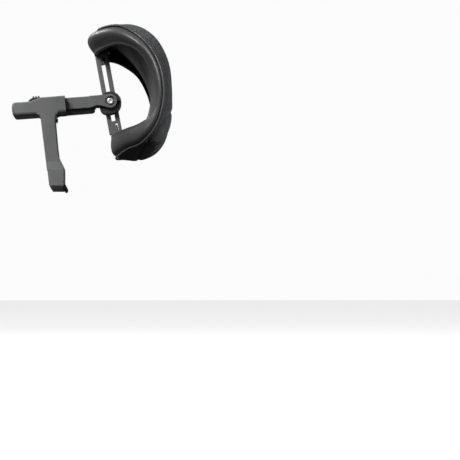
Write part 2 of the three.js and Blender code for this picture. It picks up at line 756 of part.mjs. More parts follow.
// A dished surface from its middle out to a rim, square-shouldered as its power grows.
function dish(rim, centre, power, depth) {
  const rows = [];
  for (let k = 0; k <= depth; k += 1) {
    const angle = (k / depth) * (Math.PI / 2);
    const out = Math.sin(angle) ** (2 / power);
    const fall = k === depth ? 1 : 1 - Math.cos(angle) ** (2 / power);
    rows.push({ out, fall, angle });
  }
  return rows.map(({ out, fall, angle }, k) => {
    const ring = rim.map((p) => new THREE.Vector3(
      centre.x + (p.x - centre.x) * fall,
      p.y * out,
      centre.z + (p.z - centre.z) * out,
    ));
    ring.forEach((p) => shapeRing(p, centre, angle));
    return k === 0 ? [ring[0]] : ring;
  });
}

function shapeRing(point, centre, angle) {
  if (!centre.wings) return;
  const spread = Math.min(Math.abs(point.y) / centre.wingReach, 1);
  point.x += centre.wings * Math.sin(Math.PI * spread) ** 2 * Math.cos(angle);
  const puff = 1 + centre.puff * Math.sin(2 * angle) ** 2;
  point.z = centre.z + (point.z - centre.z) * puff;
}

function panelRim(lift) {
  return sections.map((at) => at.seam.clone()
    .addScaledVector(at.forward, lift - PANEL.behind)
    .addScaledVector(at.outward, -PANEL.inside));
}

function rearPanel() {
  const centre = { x: PANEL.x, z: PANEL.z };
  const back = { x: PANEL.x - PANEL.wall, z: PANEL.z };
  const front = dish(panelRim(0), centre, PANEL.power, 7);
  const rear = dish(panelRim(-PANEL.wall), back, PANEL.power, 7).reverse();
  return skin([...front, ...rear], false);
}

const FORWARD = new THREE.Vector3(1, 0, 0);

function padRim(clear, inset) {
  return sections.map((at) => {
    const lead = at.forward.clone().add(FORWARD).normalize();
    return at.seam.clone().addScaledVector(lead, clear).addScaledVector(at.outward, -inset);
  });
}

function pad() {
  const face = dish(padRim(TRIM.radius + GAP, 0), PAD_FACE, PAD_FACE.power, 9);
  const rim = padRim(TRIM.radius + GAP, PANEL.inside);
  const seat = { x: PANEL.x + 1, z: PANEL.z };
  const back = dish(panelRim(1), seat, PANEL.power, 7).reverse();
  return skin([...face, rim, ...back], false);
}

function edgeTrim() {
  const rows = [];
  const sides = 6;
  for (let k = 0; k < sides; k += 1) {
    const angle = (k / sides) * 2 * Math.PI;
    const [ahead, out] = [Math.cos(angle) * TRIM.radius, Math.sin(angle) * TRIM.radius];
    rows.push(sections.map((at) => at.seam.clone()
      .addScaledVector(at.forward, ahead)
      .addScaledVector(at.outward, out)));
  }
  return skin(rows, true);
}

addPiece('shell_frame', shellFrame(), 'moulded');
addPiece('rear_panel', rearPanel(), 'moulded');
addPiece('edge_trim', edgeTrim(), 'satinBlack');
addPiece('pad', pad(), 'fabric');

export default headrestAttachment;
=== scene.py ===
"""Chair headrest attachment: bracket, press latch, sliding arm, tilting carriage, and a padded
headrest on a slotted height rail. Metres; +X is forward, +Y the left side of the chair, +Z up."""

import json
import math

import bmesh
import bpy
import numpy as np
from bpy.props import FloatProperty, FloatVectorProperty, PointerProperty
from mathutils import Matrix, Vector, kdtree, noise

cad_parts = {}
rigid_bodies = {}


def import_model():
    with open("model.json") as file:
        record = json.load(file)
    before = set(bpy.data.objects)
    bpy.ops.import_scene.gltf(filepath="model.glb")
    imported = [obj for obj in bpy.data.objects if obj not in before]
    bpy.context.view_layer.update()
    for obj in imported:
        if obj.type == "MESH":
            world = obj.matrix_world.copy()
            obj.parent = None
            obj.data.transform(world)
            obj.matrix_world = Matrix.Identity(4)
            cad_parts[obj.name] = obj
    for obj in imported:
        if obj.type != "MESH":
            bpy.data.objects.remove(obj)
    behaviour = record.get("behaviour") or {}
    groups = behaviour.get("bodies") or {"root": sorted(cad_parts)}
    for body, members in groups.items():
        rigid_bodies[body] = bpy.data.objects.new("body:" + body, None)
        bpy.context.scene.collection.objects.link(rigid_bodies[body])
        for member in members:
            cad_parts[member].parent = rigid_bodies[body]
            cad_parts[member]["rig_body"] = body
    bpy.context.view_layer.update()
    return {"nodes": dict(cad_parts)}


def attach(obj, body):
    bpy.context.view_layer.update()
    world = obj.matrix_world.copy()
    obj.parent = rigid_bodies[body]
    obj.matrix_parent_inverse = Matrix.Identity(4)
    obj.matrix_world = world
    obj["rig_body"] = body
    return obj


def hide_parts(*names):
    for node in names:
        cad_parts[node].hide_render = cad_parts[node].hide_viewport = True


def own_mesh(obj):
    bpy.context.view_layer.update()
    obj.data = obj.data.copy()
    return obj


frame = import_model()

bl_info = {
    "name": "Chair headrest attachment",
    "version": (1, 0, 0),
    "blender": (4, 5, 0),
    "location": "3D View > Sidebar > Headrest",
    "description": "Builds a chair headrest with its bracket, arm, tilt carriage and height rail",
    "category": "Object",
}

MM = 0.001

# Seam between shell and pad, and the shell's inner lip, from the middle of the top round one
# wing to the middle of the bottom. The other wing is the mirror image. Millimetres.
SEAM = [
    (48, 0, 214), (57, 64, 213), (84, 116, 207), (112, 139, 187), (134, 141, 157),
    (144, 141, 112), (136, 139, 68), (116, 127, 41), (94, 88, 33), (80, 32, 27), (77, 0, 26),
]
LIP = [
    (44, 0, 180), (54, 62, 181), (83, 114, 181), (110, 137.5, 165), (126, 138.5, 136),
    (132, 138.5, 104), (127, 136, 79), (111, 127, 68), (92, 95, 63), (75, 48, 60), (69, 0, 60),
]
LOOP_STEPS = 320  # sections round the shell, the trim and the pad
MIDDLE = np.array((105, 0, 115)) * MM  # inside the headrest, to tell outward from inward
TOP_SPREAD = 0.15  # share of the loop over which the top's fuller bulge fades
BULGE_SKEW = 0.7  # below 1 moves the crown of the band nearer the seam
CAP_ROUND = 1.6 * MM  # rounding of the rear cap's outer end
CAP_TURNS = (0, 18, 36, 54, 72, 90)  # degrees of that rounding, ring by ring
ROUNDED_FROM = 26  # degrees between two faces, from which their edge is rounded over
SHARP_FROM = 40  # degrees between two faces, from which their edge is shaded sharp
STITCH_THICKNESS = 0.8 * MM
STITCH_RISE = 3.6 * MM  # height of the stitches above the cross seam, along the cover

# Where the cover's cross seam runs: a plane through the pad, sloping up towards the front.
CROSS_SEAM = {"x": 120 * MM, "z": 38 * MM, "slope": 1.32}


# ---- settings ------------------------------------------------------------------------------


class HeadrestFinishes(bpy.types.PropertyGroup):
    """Colours of the headrest's finishes."""

    grey: FloatVectorProperty(
        name="Grey plastic", description="Bracket, rear cap, arm and rail", subtype="COLOR",
        default=(0.112, 0.115, 0.113), min=0, max=1)
    black: FloatVectorProperty(
        name="Black plastic", description="Carriage, button, keel and mounts", subtype="COLOR",
        default=(0.022, 0.0225, 0.023), min=0, max=1)
    shell: FloatVectorProperty(
        name="Shell plastic", description="Shell, rear panel and edge trim", subtype="COLOR",
        default=(0.046, 0.047, 0.046), min=0, max=1)
    fabric: FloatVectorProperty(
        name="Knit fabric", description="Cover of the pad", subtype="COLOR",
        default=(0.027, 0.0275, 0.029), min=0, max=1)
    diamond: FloatProperty(
        name="Diamond size", description="Width of one diamond of the knit", unit="LENGTH",
        default=0.0052, min=0.001)


class HeadrestShapes(bpy.types.PropertyGroup):
    """Sizes of the headrest's visible detail."""

    shell_wall: FloatProperty(
        name="Shell wall", description="Thickness of the shell", unit="LENGTH",
        default=0.0026, min=0.001)
    top_bulge: FloatProperty(
        name="Top bulge", description="Crown of the shell's band at the top", unit="LENGTH",
        default=0.0125, min=0)
    side_bulge: FloatProperty(
        name="Side bulge", description="Crown of the shell's band at the sides", unit="LENGTH",
        default=0.004, min=0)
    front_roll: FloatProperty(
        name="Front roll", description="Width of the rolled band at the shell's front edge",
        unit="LENGTH", default=0.0070, min=0.001)
    lip_return: FloatProperty(
        name="Lip return", description="Depth of the flange inside the shell's opening",
        unit="LENGTH", default=0.0055, min=0.001)
    trim_radius: FloatProperty(
        name="Trim radius", description="Radius of the bead between shell and pad",
        unit="LENGTH", default=0.0015, min=0.0005)
    pad_pressure: FloatProperty(
        name="Pad pressure", description="Filling pressure while the pad swells", default=4.0,
        min=0)
    pad_voxel: FloatProperty(
        name="Pad cell", description="Cell size of the swelling pad", unit="LENGTH",
        default=0.005, min=0.003)
    pad_swell: FloatProperty(
        name="Pad swell", description="Furthest that the cover moves as it swells",
        unit="LENGTH", default=0.006, min=0)
    stitch_spacing: FloatProperty(
        name="Stitch spacing", description="Distance from stitch to stitch", unit="LENGTH",
        default=0.0042, min=0.001)
    stitch_length: FloatProperty(
        name="Stitch length", description="Length of one stitch", unit="LENGTH",
        default=0.0030, min=0.001)


class HeadrestStage(bpy.types.PropertyGroup):
    """Camera, floor and light."""

    lens: FloatProperty(
        name="Lens", description="Focal length", unit="CAMERA", default=126.63, min=10)
    floor: FloatProperty(
        name="Floor height", description="Height of the studio floor", unit="LENGTH",
        default=-0.32)
    key_power: FloatProperty(
        name="Key power", description="Power of the large light on the left", unit="POWER",
        default=100, min=0)
    fill_power: FloatProperty(
        name="Fill power", description="Power of the light on the right", unit="POWER",
        default=58, min=0)
    rear_power: FloatProperty(
        name="Rear power", description="Power of the light behind", unit="POWER",
        default=16, min=0)
    surround: FloatProperty(
        name="Surround", description="Brightness of the soft surround", default=0.24, min=0)


def shapes():
    return bpy.context.scene.headrest_shapes


# ---- node helpers --------------------------------------------------------------------------


def add_node(tree, kind, inputs=None, **settings):
    """Adds a node; inputs are values or output sockets, by name or number."""
    made = tree.nodes.new(kind)
    for key, value in settings.items():
        setattr(made, key, value)
    for key, value in (inputs or {}).items():
        if isinstance(value, bpy.types.NodeSocket):
            tree.links.new(value, made.inputs[key])
        else:
            made.inputs[key].default_value = value
    return made


def math_node(tree, operation, *values):
    return add_node(tree, "ShaderNodeMath", dict(enumerate(values)), operation=operation).outputs[0]


def ramp(tree, factor, low, high):
    """Maps factor from 0..1 to low..high."""
    return add_node(
        tree, "ShaderNodeMapRange", {"Value": factor, "To Min": low, "To Max": high}).outputs[0]


def tinted(tree, colour, factor, spread):
    """The colour, darker and lighter by spread as factor goes from 0 to 1."""
    dark = [c * (1 - spread) for c in colour] + [1]
    light = [c * (1 + spread) for c in colour] + [1]
    mix = add_node(tree, "ShaderNodeMix", {"Factor": factor}, data_type="RGBA")
    mix.inputs["A"].default_value = dark
    mix.inputs["B"].default_value = light
    return mix.outputs["Result"]


def noise_node(tree, coordinates, scale, detail=2.0, roughness=0.5):
    return add_node(tree, "ShaderNodeTexNoise", {
        "Vector": coordinates, "Scale": scale, "Detail": detail, "Roughness": roughness,
    }).outputs[0]


def new_finish(name):
    """A node material: its tree, its shader and the object coordinates."""
    material = bpy.data.materials.new(name)
    material.use_nodes = True
    tree = material.node_tree
    shader = tree.nodes["Principled BSDF"]
    coordinates = add_node(tree, "ShaderNodeTexCoord").outputs["Object"]
    return material, tree, shader, coordinates


def feed(tree, shader, **values):
    """Feeds a shader's sockets by name, with _ for a space."""
    for key, value in values.items():
        socket = shader.inputs[key.replace("_", " ")]
        if isinstance(value, bpy.types.NodeSocket):
            tree.links.new(value, socket)
        else:
            socket.default_value = value


def bump(tree, height, distance, strength=1.0, normal=None):
    inputs = {"Height": height, "Distance": distance, "Strength": strength}
    if normal is not None:
        inputs["Normal"] = normal
    return add_node(tree, "ShaderNodeBump", inputs).outputs[0]


# ---- finishes ------------------------------------------------------------------------------


def moulded_plastic(name, colour, roughness, grain, grain_height):
    """Spark-textured moulded plastic: fine grain, and a slow drift of tone and gloss."""
    material, tree, shader, at = new_finish(name)
    drift = noise_node(tree, at, 22.0, 3.0)
    pebble = noise_node(tree, at, grain, 2.0, 0.6)
    smear = noise_node(tree, at, 90.0, 4.0)
    feed(
        tree, shader,
        Base_Color=tinted(tree, colour, drift, 0.18),
        Roughness=ramp(tree, smear, roughness - 0.08, roughness + 0.10),
        Specular_IOR_Level=0.6,
        Normal=bump(tree, pebble, grain_height),
    )
    return material


DIAMOND_RISE = 0.8  # width of a diamond over its height
LOOPS_ACROSS, LOOPS_UP = 5, 4.2  # loops of the knit in one diamond's width
PLAIN_THREADS = 9  # threads of the plain weave in the same width
RAISED_SHARE = 0.75  # share of the relief that the diamonds make, over the loops


def knit_cover(name, colour, diamond):
    """Pad cover: a raised diamond knit above the cross seam and a plain close weave below it."""
    material, tree, shader, at = new_finish(name)
    split = add_node(tree, "ShaderNodeSeparateXYZ", {0: at}).outputs
    across = math_node(tree, "SUBTRACT", math_node(tree, "ABSOLUTE", split["Y"]), split["X"])
    turns = 2 * math.pi / diamond

    def wave(direction, count):
        return math_node(tree, "COSINE", math_node(tree, "MULTIPLY", direction, count))

    lean = math_node(tree, "MULTIPLY", split["Z"], DIAMOND_RISE)
    rising = math_node(tree, "ADD", across, lean)
    falling = math_node(tree, "SUBTRACT", across, lean)
    first = math_node(tree, "ABSOLUTE", wave(rising, turns / 2))
    second = math_node(tree, "ABSOLUTE", wave(falling, turns / 2))
    diamonds = math_node(tree, "MINIMUM", first, second)
    loops = math_node(
        tree, "MULTIPLY", wave(across, turns * LOOPS_ACROSS), wave(split["Z"], turns * LOOPS_UP))
    threads = math_node(tree, "MULTIPLY_ADD", loops, 0.5, 0.5)
    fuzz = noise_node(tree, at, 2600.0, 2.0, 0.7)
    finer = turns * PLAIN_THREADS
    weave = math_node(tree, "MULTIPLY", wave(across, finer), wave(split["Z"], finer))
    plain = math_node(tree, "MULTIPLY_ADD", weave, 0.5, 0.5)

    slope = CROSS_SEAM["slope"]
    height = math_node(tree, "MULTIPLY_ADD", split["X"], -slope, split["Z"])
    above = math_node(
        tree, "GREATER_THAN", height, CROSS_SEAM["z"] - slope * CROSS_SEAM["x"])
    raised = math_node(tree, "MULTIPLY", diamonds, above)
    close = add_node(tree, "ShaderNodeMix", {"Factor": above, "A": plain, "B": threads}).outputs[0]
    relief = math_node(
        tree, "ADD", math_node(tree, "MULTIPLY", raised, RAISED_SHARE),
        math_node(tree, "MULTIPLY", close, 1 - RAISED_SHARE))
    below = math_node(tree, "SUBTRACT", 1.0, above)
    # The colour follows the relief: painted shade darkens the knit's hollows and painted highlight
    # lightens its crowns; the fuzz adds random tone.
    tone = math_node(
        tree, "MULTIPLY_ADD", relief, 0.7, math_node(tree, "MULTIPLY", fuzz, 0.3))
    # Painted light: the cover below the cross seam is painted lighter, standing in for light from
    # beneath.
    tone = math_node(tree, "MULTIPLY_ADD", below, 0.4, tone)
    feed(
        tree, shader,
        Base_Color=tinted(tree, colour, tone, 0.65),
        Roughness=0.92,
        Specular_IOR_Level=0.25,
        Sheen_Weight=0.16,
        Sheen_Roughness=0.45,
        Sheen_Tint=(0.8, 0.82, 0.86, 1),
        Normal=bump(tree, relief, 0.0009, 0.9, bump(tree, fuzz, 0.00012)),
    )
    return material


def brushed_steel(name, colour, roughness, metallic=1.0):
    """Plated steel with turning marks and a few fine pits."""
    material, tree, shader, at = new_finish(name)
    marks = add_node(tree, "ShaderNodeMapping", {"Vector": at, "Scale": (1, 6, 1)}).outputs[0]
    lines = noise_node(tree, marks, 900.0, 4.0)
    pits = noise_node(tree, at, 1700.0, 1.0)
    feed(
        tree, shader,
        Base_Color=tinted(tree, colour, lines, 0.12),
        Metallic=metallic,
        Roughness=ramp(tree, lines, roughness - 0.06, roughness + 0.1),
        Normal=bump(tree, pits, 0.00003),
    )
    return material


def natural_nylon(name):
    """Off-white bearing nylon, slightly translucent, with a dull wiped gloss."""
    material, tree, shader, at = new_finish(name)
    cloud = noise_node(tree, at, 60.0, 3.0)
    feed(
        tree, shader,
        Base_Color=tinted(tree, (0.62, 0.60, 0.54), cloud, 0.08),
        Roughness=ramp(tree, cloud, 0.38, 0.52),
        Subsurface_Weight=0.08,
        Subsurface_Scale=0.002,
        Normal=bump(tree, noise_node(tree, at, 1400.0), 0.00004),
    )
    return material


def soft_rubber(name):
    """Black rubber with a dusty bloom."""
    material, tree, shader, at = new_finish(name)
    bloom = noise_node(tree, at, 120.0, 5.0, 0.65)
    feed(
        tree, shader,
        Base_Color=tinted(tree, (0.014, 0.014, 0.015), bloom, 0.4),
        Roughness=ramp(tree, bloom, 0.72, 0.92),
        Normal=bump(tree, noise_node(tree, at, 2200.0, 3.0), 0.00006),
    )
    return material


def sewing_thread(name):
    """Twisted black thread."""
    material, tree, shader, at = new_finish(name)
    twist = add_node(tree, "ShaderNodeTexWave", {"Vector": at, "Scale": 420.0, "Distortion": 0.4},
                     bands_direction="DIAGONAL").outputs[1]
    feed(
        tree, shader,
        # The colour follows the twist: painted shade in its grooves and painted highlight on its
        # crowns.
        Base_Color=tinted(tree, (0.030, 0.031, 0.033), twist, 0.5),
        Roughness=0.7,
        Sheen_Weight=0.3,
        Normal=bump(tree, twist, 0.00012),
    )
    return material


FINISH = {}


def make_finishes():
    colours = bpy.context.scene.headrest_finishes
    FINISH.update(
        grey=moulded_plastic("grey_plastic", colours.grey, 0.40, 1500.0, 0.00010),
        black=moulded_plastic("black_plastic", colours.black, 0.36, 2600.0, 0.00003),
        shell=moulded_plastic("shell_plastic", colours.shell, 0.40, 1500.0, 0.00008),
        knit=knit_cover("knit_cover", colours.fabric, colours.diamond),
        thread=sewing_thread("sewing_thread"),
        steel=brushed_steel("plated_steel", (0.88, 0.91, 0.96), 0.40),
        black_steel=brushed_steel("black_oxide_steel", (0.045, 0.046, 0.050), 0.38, 0.8),
        nylon=natural_nylon("bearing_nylon"),
        rubber=soft_rubber("soft_rubber"),
    )


# ---- meshes --------------------------------------------------------------------------------


def new_object(name, data):
    """An object in the scene that holds the data."""
    made = bpy.data.objects.new(name, data)
    bpy.context.scene.collection.objects.link(made)
    return made


def new_piece(name, mesh, finish):
    piece = new_object(name, mesh)
    mesh.materials.clear()
    mesh.materials.append(FINISH[finish])
    return piece


def made_mesh(piece):
    """The mesh that the piece's modifiers make; the piece is left without modifiers."""
    evaluated = piece.evaluated_get(bpy.context.evaluated_depsgraph_get())
    mesh = bpy.data.meshes.new_from_object(evaluated)
    piece.modifiers.clear()
    return mesh


def smooth(mesh):
    for polygon in mesh.polygons:
        polygon.use_smooth = True


def smooth_by_angle(mesh):
    smooth(mesh)
    mesh.set_sharp_from_angle(angle=math.radians(SHARP_FROM))


def flat_faced(node):
    """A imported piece's mesh with its doubles merged and its flat faces joined up."""
    mesh = frame["nodes"][node].data.copy()
    shape = bmesh.new()
    shape.from_mesh(mesh)
    bmesh.ops.remove_doubles(shape, verts=shape.verts, dist=0.00001)
    bmesh.ops.dissolve_limit(
        shape, angle_limit=math.radians(1.0), verts=shape.verts, edges=shape.edges)
    return mesh, shape


def rear_cap_mesh():
    """The rear cap with its outer end rounded over, ring by ring."""
    mesh, shape = flat_faced("rear_cap")
    end = max(
        (f for f in shape.faces if f.normal.x < -0.9), key=lambda face: face.calc_area())
    back = -end.normal * CAP_ROUND
    for vertex in end.verts:
        vertex.co += back
    turns = [math.radians(turn) for turn in CAP_TURNS]
    for low, high in zip(turns, turns[1:]):
        bmesh.ops.inset_individual(
            shape, faces=[end], thickness=CAP_ROUND * (math.cos(low) - math.cos(high)),
            depth=CAP_ROUND * (math.sin(high) - math.sin(low)), use_even_offset=True)
    shape.to_mesh(mesh)
    shape.free()
    smooth_by_angle(mesh)
    return mesh


def refined(node, finish, rounding):
    """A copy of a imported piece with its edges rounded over."""
    mesh, shape = flat_faced(node)
    shape.to_mesh(mesh)
    shape.free()
    piece = new_piece("shown_" + node, mesh, finish)
    bevel = piece.modifiers.new("rounding", "BEVEL")
    bevel.width = rounding
    bevel.segments = 3
    bevel.limit_method = "ANGLE"
    bevel.angle_limit = math.radians(ROUNDED_FROM)
    bevel.use_clamp_overlap = True
    bevel.miter_outer = "MITER_ARC"
    weighted = piece.modifiers.new("even shading", "WEIGHTED_NORMAL")
    weighted.keep_sharp = True
    smooth_by_angle(mesh)
    piece.data = made_mesh(piece)
    return mounted(piece, node)


def mounted(piece, node):
    """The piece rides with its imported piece's body, and stands for it."""
    body = frame["nodes"][node]["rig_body"]
    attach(piece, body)
    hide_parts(node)
    return piece


def grid_mesh(name, rows, wrap_rows):
    """A mesh over rows of points (rows, steps, 3), each row a closed ring. A first or last row
    of one repeated point becomes a single pole."""
    count, steps = rows.shape[:2]
    vertices = [tuple(p) for p in rows.reshape(-1, 3)]
    faces = []
    last = count if wrap_rows else count - 1
    for r in range(last):
        low, high = r * steps, ((r + 1) % count) * steps
        for i in range(steps):
            j = (i + 1) % steps
            faces.append((low + i, low + j, high + j, high + i))
    mesh = bpy.data.meshes.new(name)
    mesh.from_pydata(vertices, [], faces)
    shape = bmesh.new()
    shape.from_mesh(mesh)
    bmesh.ops.remove_doubles(shape, verts=shape.verts, dist=0.000001)
    bmesh.ops.recalc_face_normals(shape, faces=shape.faces)
    if shape.calc_volume(signed=True) < 0:
        bmesh.ops.reverse_faces(shape, faces=shape.faces)
    shape.to_mesh(mesh)
    shape.free()
    smooth(mesh)
    return mesh


# ---- the headrest's outline ----------------------------------------------------------------


def closed_loop(half, steps):
    """Points and tangents round a closed centripetal curve through half the outline and its
    mirror image."""
    near = [(x, -y, z) for x, y, z in half]
    far = [(x, y, z) for x, y, z in half[-2:0:-1]]
    knots = np.array(near + far, float) * MM
    total = len(knots)
    points, tangents = [], []
    for i in range(steps):
        place = total * i / steps
        base = int(place)
        t = place - base
        p0, p1, p2, p3 = (knots[(base + k) % total] for k in (-1, 0, 1, 2))
        d0, d1, d2 = (
            math.sqrt(np.linalg.norm(b - a)) for a, b in ((p0, p1), (p1, p2), (p2, p3)))
        m1 = ((p1 - p0) / d0 - (p2 - p0) / (d0 + d1) + (p2 - p1) / d1) * d1
        m2 = ((p2 - p1) / d1 - (p3 - p1) / (d1 + d2) + (p3 - p2) / d2) * d1
        c2 = -3 * p1 + 3 * p2 - 2 * m1 - m2
        c3 = 2 * p1 - 2 * p2 + m1 + m2
        points.append(p1 + m1 * t + c2 * t * t + c3 * t ** 3)
        tangents.append(m1 + 2 * c2 * t + 3 * c3 * t * t)
    return np.array(points), np.array(tangents)


def unit(vectors):
    return vectors / np.linalg.norm(vectors, axis=-1, keepdims=True)


class Outline:
    """The headrest's sections: seam, forward and outward directions, width and share round."""

    def __init__(self, steps):
        self.seam, tangent = closed_loop(SEAM, steps)
        lip, _ = closed_loop(LIP, steps)
        reach = self.seam - lip
        self.width = np.linalg.norm(reach, axis=1)
        self.forward = unit(reach)
        outward = unit(np.cross(tangent, self.forward))
        inside_out = np.einsum("ij,ij->i", outward, self.seam - MIDDLE) < 0
        outward[inside_out] *= -1
        self.outward = outward
        self.share = np.arange(steps) / steps

    def at(self, back, out):
        """The points back from the seam and out from it, one for each section."""
        return self.seam - self.forward * np.reshape(back, (-1, 1)) + (
            self.outward * np.reshape(out, (-1, 1)))


def equal_steps(power, centre_drop, rings):
    """Angles that space a dish's rings evenly from its middle to its rim."""
    angles = np.linspace(0, math.pi / 2, 2000)
    out = np.sin(angles) ** (2 / power)
    fall = 1 - np.cos(angles) ** (2 / power)
    path = np.hypot(np.diff(out), np.diff(fall) * centre_drop)
    reach = np.concatenate([[0], np.cumsum(path)])
    return np.interp(np.linspace(0, reach[-1], rings + 1), reach, angles)


WING_WIDTH = 140 * MM  # half width over which a dish's wings come forward


def dish(rim, x, z, power, rings, wings=0.0, puff=0.0, drop=0.3):
    """Rows of points from a dish's middle out to its rim."""
    rows = []
    for angle in equal_steps(np.mean(power), drop, rings):
        out = math.sin(angle) ** (2 / power)
        fall = 1 - max(math.cos(angle), 0) ** (2 / power)
        ring = np.empty_like(rim)
        ring[:, 0] = x + (rim[:, 0] - x) * fall
        ring[:, 1] = rim[:, 1] * out
        ring[:, 2] = z + (rim[:, 2] - z) * out
        spread = np.minimum(np.abs(ring[:, 1]) / WING_WIDTH, 1)
        ring[:, 0] += wings * np.sin(math.pi * spread) ** 2 * math.cos(angle)
        ring[:, 2] = z + (ring[:, 2] - z) * (1 + puff * math.sin(2 * angle) ** 2)
        rows.append(ring)
    return rows


# ---- headrest pieces -----------------------------------------------------------------------

TRIM_BEHIND = 2.2 * MM
PANEL_X, PANEL_Z = 131 * MM, 112 * MM
PANEL_BEHIND, PANEL_INSIDE, PANEL_WALL, PANEL_POWER = 5.5 * MM, 4.3 * MM, 3 * MM, 1.6
PAD_X, PAD_Z, PAD_POWER, PAD_TOP_POWER = 150.5 * MM, 112 * MM, 3.2, 2.3
PAD_WINGS, PAD_PUFF = 6 * MM, 0.03
PANEL_RINGS = 40

SHELL_CORNER = 1.6 * MM  # rounding where the side turns into the opening
SHELL_DROP = 2.0 * MM  # how far the rolled front edge falls below the side
FLANGE_WALL = 1.9 * MM
FLANGE_FRONT = ((0.0, 0.5), (0.1 * MM, 0.85), (0.0, 0.97))  # back, share of the flange's depth
FLANGE_REAR = ((FLANGE_WALL, 0.97), (FLANGE_WALL, 0.8))
FRONT_EDGE = ((0.35 * MM, 0.75), (0.55 * MM, 0.4), (0.35 * MM, 0.1))  # forward, share of wall


def shell_mesh():
    """The shell's band: a rolled front edge, a crowned side, and a flange turned into the
    opening."""
    sizes = shapes()
    outline = Outline(LOOP_STEPS)
    width, wall, flange = outline.width, sizes.shell_wall, sizes.lip_return
    top = np.exp(-((np.minimum(outline.share, 1 - outline.share) / TOP_SPREAD) ** 2))
    bulge = sizes.side_bulge + (sizes.top_bulge - sizes.side_bulge) * top

    def outer(along):
        back = TRIM_BEHIND + along * (width - SHELL_CORNER - TRIM_BEHIND)
        rise = bulge * math.sin(math.pi * along ** BULGE_SKEW) * (1 - along ** 8)
        roll = np.clip((back - TRIM_BEHIND) / sizes.front_roll, 0, 1)
        return back, rise - SHELL_DROP * (1 - roll) ** 1.6

    def level(back, out):
        return outline.at(back, np.full(LOOP_STEPS, out))

    shares = np.concatenate([np.linspace(0, 0.22, 10), np.linspace(0.22, 1, 22)[1:]])
    rows = [outline.at(*outer(along)) for along in shares]
    for angle in np.radians([22, 45, 68, 90]):
        back = width - SHELL_CORNER + SHELL_CORNER * math.sin(angle)
        rows.append(outline.at(back, -SHELL_CORNER * (1 - math.cos(angle))))
    rows += [outline.at(width + back, -flange * share) for back, share in FLANGE_FRONT]
    rows.append(level(width - FLANGE_WALL * 0.5, -flange - 0.25 * MM))
    rows += [outline.at(width - back, -flange * share) for back, share in FLANGE_REAR]
    rows.append(level(width - FLANGE_WALL - 1.2 * MM, -wall - 0.6 * MM))
    for along in shares[::-1][1:]:
        back, out = outer(along)
        rows.append(outline.at(np.minimum(back, width - FLANGE_WALL - 2.5 * MM), out - wall))
    rows += [
        level(TRIM_BEHIND - forward, -SHELL_DROP - wall * share) for forward, share in FRONT_EDGE]
    return grid_mesh("shell_frame_mesh", np.array(rows), True)


def panel_rim(outline, lift, inside=PANEL_INSIDE):
    forward = outline.forward * (lift - PANEL_BEHIND)
    return outline.seam + forward - outline.outward * inside


def panel_mesh():
    """The rear panel: a dished wall, closed round its rim."""
    outline = Outline(LOOP_STEPS)
    front, rear = (
        dish(panel_rim(outline, lift), PANEL_X + lift, PANEL_Z, PANEL_POWER, PANEL_RINGS)
        for lift in (0, -PANEL_WALL))
    return grid_mesh("rear_panel_mesh", np.array(front + rear[::-1]), False)


def seam_path(name):
    """The seam as a closed poly curve."""
    seam = Outline(LOOP_STEPS).seam
    curve = bpy.data.curves.new(name, "CURVE")
    curve.dimensions = "3D"
    spline = curve.splines.new("POLY")
    spline.points.add(len(seam) - 1)
    for point, place in zip(spline.points, seam):
        point.co = (*place, 1)
    spline.use_cyclic_u = True
    return new_object(name, curve)


def node_group(name, sockets):
    """A geometry node tree with a Geometry input and output, and the named inputs."""
    tree = bpy.data.node_groups.new(name, "GeometryNodeTree")
    tree.interface.new_socket("Geometry", in_out="INPUT", socket_type="NodeSocketGeometry")
    for label, kind in sockets.items():
        tree.interface.new_socket(label, in_out="INPUT", socket_type="NodeSocket" + kind)
    tree.interface.new_socket("Geometry", in_out="OUTPUT", socket_type="NodeSocketGeometry")
    start = tree.nodes.new("NodeGroupInput")
    end = tree.nodes.new("NodeGroupOutput")
    return tree, start.outputs, end


def close_group(tree, end, geometry, material):
    realized = add_node(tree, "GeometryNodeRealizeInstances", {0: geometry}).outputs[0]
    coloured = add_node(
        tree, "GeometryNodeSetMaterial", {"Geometry": realized, "Material": material}).outputs[0]
    tree.links.new(coloured, end.inputs[0])


def run_group(piece, tree, values):
    """The piece's mesh made by the tree, with the inputs set by name."""
    modifier = piece.modifiers.new("build", "NODES")
    modifier.node_group = tree
    identifiers = {
        item.name: item.identifier for item in tree.interface.items_tree if item.in_out == "INPUT"}
    for label, value in values.items():
        modifier[identifiers[label]] = value
    mesh = made_mesh(piece)
    smooth(mesh)
    return mesh


def trim_group():
    """A round bead swept along a path."""
    tree, given, end = node_group("edge_bead", {
        "Radius": "Float", "Sides": "Int", "Bead": "Material"})
    circle = add_node(tree, "GeometryNodeCurvePrimitiveCircle", {
        "Resolution": given["Sides"], "Radius": given["Radius"]}).outputs[0]
    swept = add_node(tree, "GeometryNodeCurveToMesh", {
        "Curve": given["Geometry"], "Profile Curve": circle}).outputs[0]
    close_group(tree, end, swept, given["Bead"])
    return tree


